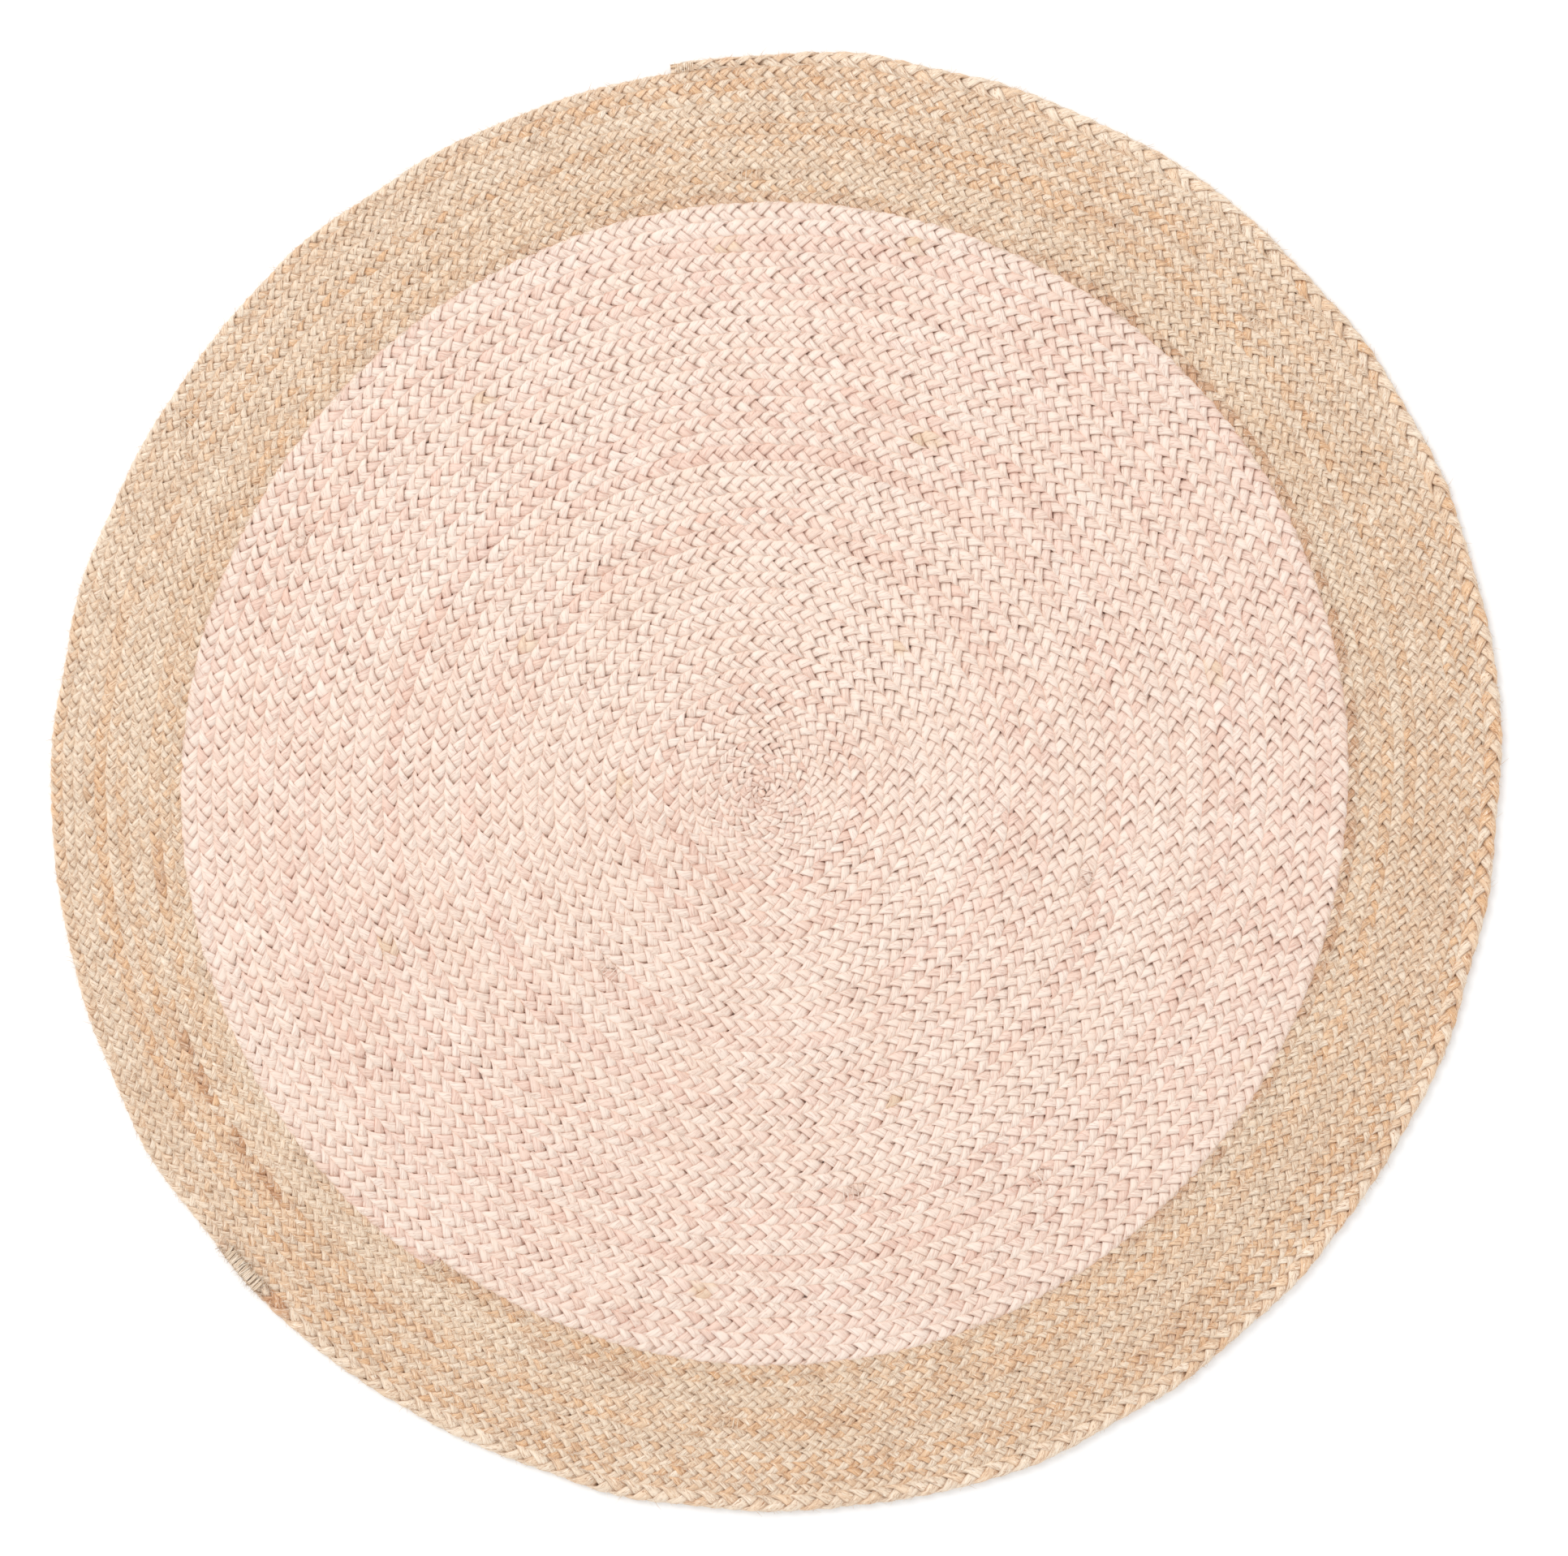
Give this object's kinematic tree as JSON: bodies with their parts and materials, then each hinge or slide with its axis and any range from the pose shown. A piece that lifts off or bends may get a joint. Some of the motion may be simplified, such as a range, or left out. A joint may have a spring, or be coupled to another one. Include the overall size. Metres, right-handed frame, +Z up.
{
  "type": "area rug",
  "caption": "Round flat-plaited jute rug: a coiled blush field inside a natural border, with bound joins and a tapered, bound tail.",
  "frame": {"origin": "middle of the rug's outline, on the floor under it", "axes": "+Z up out of the floor; +X and +Y lie in the rug, with the tail's tip near +Y"},
  "size_m": [1.1976, 1.2032, 0.008],
  "materials": {
    "blush_jute": "matte",
    "natural_jute": "matte",
    "straw_binding": "matte",
    "sewing_thread": "matte"
  },
  "bodies": {
    "root": {"field_plait_1": "blush_jute", "field_plait_2": "blush_jute", "field_plait_3": "blush_jute", "field_plait_4": "blush_jute", "field_plait_5": "blush_jute", "field_plait_6": "blush_jute", "border_plait_1": "natural_jute", "border_plait_2": "natural_jute", "border_plait_3": "natural_jute", "border_plait_4": "natural_jute", "border_plait_5": "natural_jute", "edge_plait": "natural_jute", "field_binding_1": "blush_jute", "field_binding_2": "blush_jute", "field_binding_3": "blush_jute", "field_binding_4": "blush_jute", "field_binding_5": "blush_jute", "field_border_binding": "natural_jute", "border_binding_1": "natural_jute", "border_binding_2": "natural_jute", "border_binding_3": "natural_jute", "border_binding_4": "natural_jute", "edge_binding": "straw_binding", "tail_binding": "sewing_thread", "field_thread": "sewing_thread", "border_thread": "sewing_thread", "eye_stitch": "sewing_thread"}
  },
  "joints": []
}
